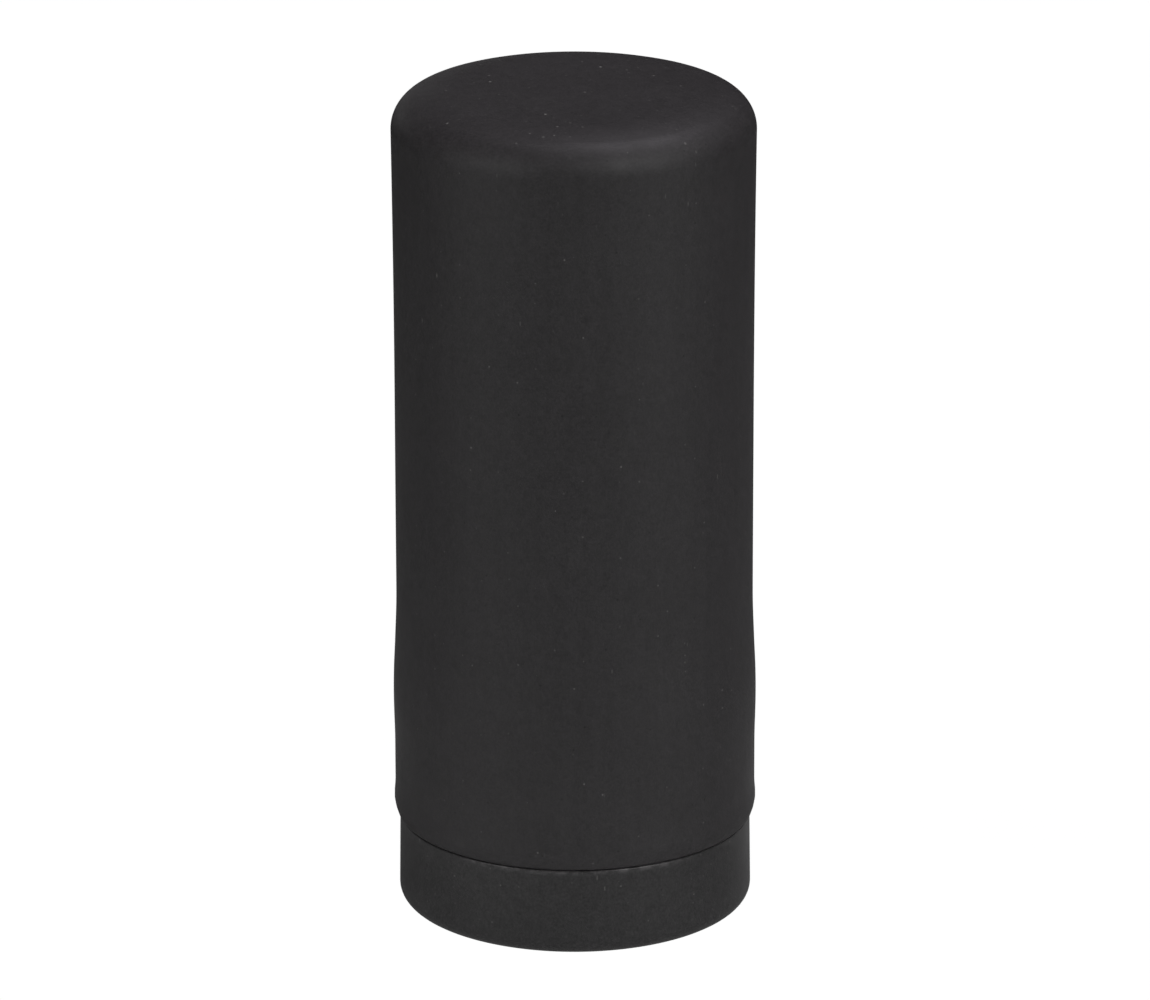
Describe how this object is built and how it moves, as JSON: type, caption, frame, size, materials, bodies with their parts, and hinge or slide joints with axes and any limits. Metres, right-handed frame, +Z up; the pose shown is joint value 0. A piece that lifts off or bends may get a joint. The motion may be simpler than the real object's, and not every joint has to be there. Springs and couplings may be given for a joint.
{
  "type": "rock tumbler barrel",
  "caption": "Tall black rubber tumbling barrel standing on its lid, with a faceted cavity, rounded closed end and an expanding plug drawn tight by a knurled nut.",
  "frame": {"origin": "centre of the lid's foot, on the surface the barrel stands on", "axes": "+Z up along the barrel's axis, from the lid's foot to the closed end; the barrel is round, so +X and +Y are free"},
  "size_m": [0.117, 0.117, 0.2716],
  "materials": {
    "barrel_rubber": "matte black moulded rubber with a faint satin sheen",
    "lid_rubber": "matte black moulded rubber with a finer grain",
    "plug_rubber": "soft black rubber, slightly shiny where it seals",
    "seal_rubber": "smooth black seal rubber",
    "plate_steel": "stainless plate with turning marks",
    "zinc_steel": "bright zinc-plated steel",
    "nylon": "off-white nylon"
  },
  "bodies": {
    "lid": {"lid_cap": "lid_rubber", "stud_seal": "seal_rubber", "pressure_plate": "plate_steel", "slip_washer": "nylon", "flat_washer": "zinc_steel", "sealing_plug": "plug_rubber"},
    "nut": {"knurled_nut": "zinc_steel"},
    "draw": {"draw_stud": "zinc_steel", "inner_plate": "plate_steel", "plate_facing": "plug_rubber"},
    "barrel": {"barrel_shell": "barrel_rubber"}
  },
  "joints": [
    {"name": "nut_spin", "type": "hinge", "parent": "lid", "child": "nut", "pos_m": [0, 0, 0.009], "axis": [0, 0, -1], "range_deg": [0, 721]},
    {"name": "stud_draw", "type": "slide", "parent": "lid", "child": "draw", "axis": [0, 0, 1], "range_m": [0, 0.0025], "deforming": ["sealing_plug"]},
    {"name": "barrel_lift", "type": "slide", "parent": "lid", "child": "barrel", "axis": [0, 0, 1], "range_m": [0, 0.2]}
  ],
  "couplings": [
    {"joint": "nut_spin", "follows": "stud_draw", "rad_per_m": 5026.5}
  ]
}
